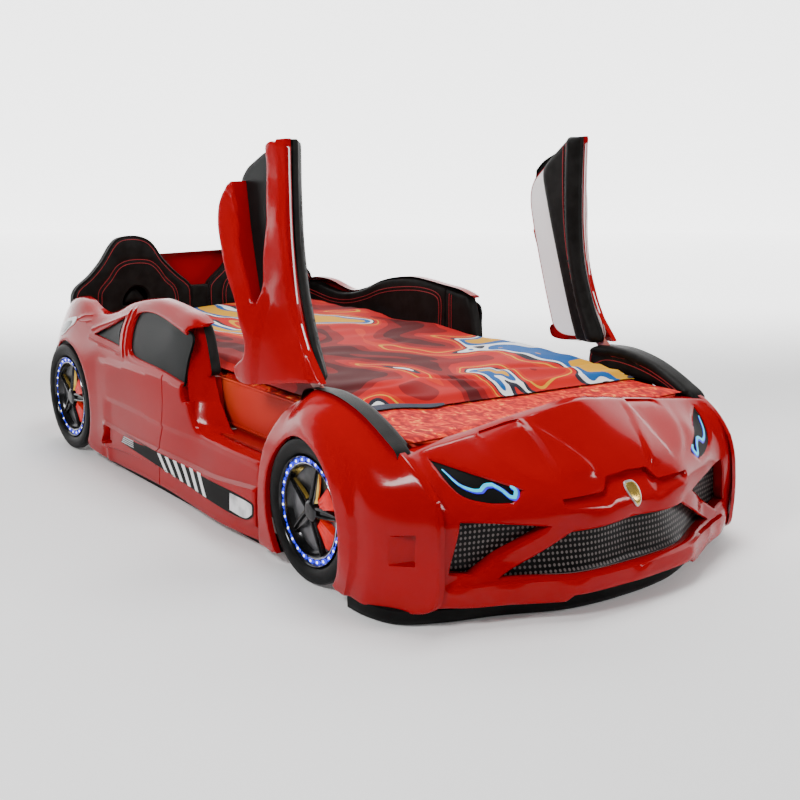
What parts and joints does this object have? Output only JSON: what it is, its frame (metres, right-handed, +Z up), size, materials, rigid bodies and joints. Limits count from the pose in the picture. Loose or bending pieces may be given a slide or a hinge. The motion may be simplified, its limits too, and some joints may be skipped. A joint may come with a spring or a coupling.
{
  "type": "race car bed",
  "caption": "Single bed shaped like a low race car, with raised side doors, padded leather sides, light-ring wheels, mattress and folded duvet.",
  "frame": {"origin": "middle of the bed's bounding box on the floor", "axes": "+Z up, -Y towards the car's nose, +X to the right for someone facing +Y; the bed is symmetric about the YZ plane"},
  "size_m": [1.196, 2.318, 1.052],
  "materials": {
    "board": "MDF board, matt",
    "pine": "planed pine, unpainted",
    "plinth": "black, matt",
    "body_red": "vacuum-formed ABS, high gloss red",
    "window": "dark grey satin panel",
    "lining": "white, smooth",
    "leather": "black leatherette with red double stitching",
    "steel": "powder-coated steel",
    "tyre": "black moulded tyre, satin",
    "rim": "black chrome with gold edges",
    "light_ring": "blue light ring, lit",
    "brake_disc": "grey, turned",
    "caliper": "red",
    "cap": "black",
    "grille": "black perforated sheet",
    "lamp": "black gloss lens",
    "light_strip": "cyan light strip, lit",
    "badge": "silver and black plain disc",
    "band": "printed film, black to silver",
    "mattress_cover": "printed cotton cover",
    "duvet_print": "printed cotton duvet"
  },
  "bodies": {
    "bed": {"beam_legs": "plinth", "brake_calipers": "caliper", "brake_discs": "brake_disc", "console_pad": "leather", "corner_posts": "pine", "corner_windows": "window", "duvet": "duvet_print", "foot_board": "board", "front_fender_left": "body_red", "front_fender_right": "body_red", "grille_centre": "grille", "head_board": "board", "headlight_left": "lamp", "headlight_right": "lamp", "headrest_inserts": "leather", "hinge_brackets": "steel", "hinge_pins": "steel", "light_rings": "light_ring", "light_strips": "light_strip", "mattress": "mattress_cover", "middle_beam": "pine", "nose_badge": "badge", "nose_skin": "body_red", "plinth_front": "plinth", "plinth_rear": "plinth", "plinth_sides": "plinth", "quarter_discs": "badge", "quarter_windows": "window", "rear_panel": "body_red", "rims": "rim", "seat_pad_left": "leather", "seat_pad_right": "leather", "side_board_left": "board", "side_board_right": "board", "side_grilles": "grille", "side_pad_left": "leather", "side_pad_right": "leather", "side_skin_left": "body_red", "side_skin_right": "body_red", "sill_bands": "band", "slat_rails": "pine", "slats": "pine", "tyre_front_left": "tyre", "tyre_front_right": "tyre", "tyre_rear_left": "tyre", "tyre_rear_right": "tyre", "wheel_caps": "cap", "wheel_mounts": "pine", "wing_pad_left": "leather", "wing_pad_right": "leather"},
    "left_door": {"door_shell_left": "body_red", "door_window_left": "window", "door_lining_left": "lining", "door_trim_left": "leather", "door_arm_left": "steel"},
    "right_door": {"door_shell_right": "body_red", "door_window_right": "window", "door_lining_right": "lining", "door_trim_right": "leather", "door_arm_right": "steel"}
  },
  "joints": [
    {"name": "left_door_swing", "type": "hinge", "parent": "bed", "child": "left_door", "pos_m": [-0.485, -0.545, 0.457], "axis": [-1, 0, 0], "range_deg": [0, 69]},
    {"name": "right_door_swing", "type": "hinge", "parent": "bed", "child": "right_door", "pos_m": [0.485, -0.545, 0.457], "axis": [-1, 0, 0], "range_deg": [0, 69]}
  ]
}
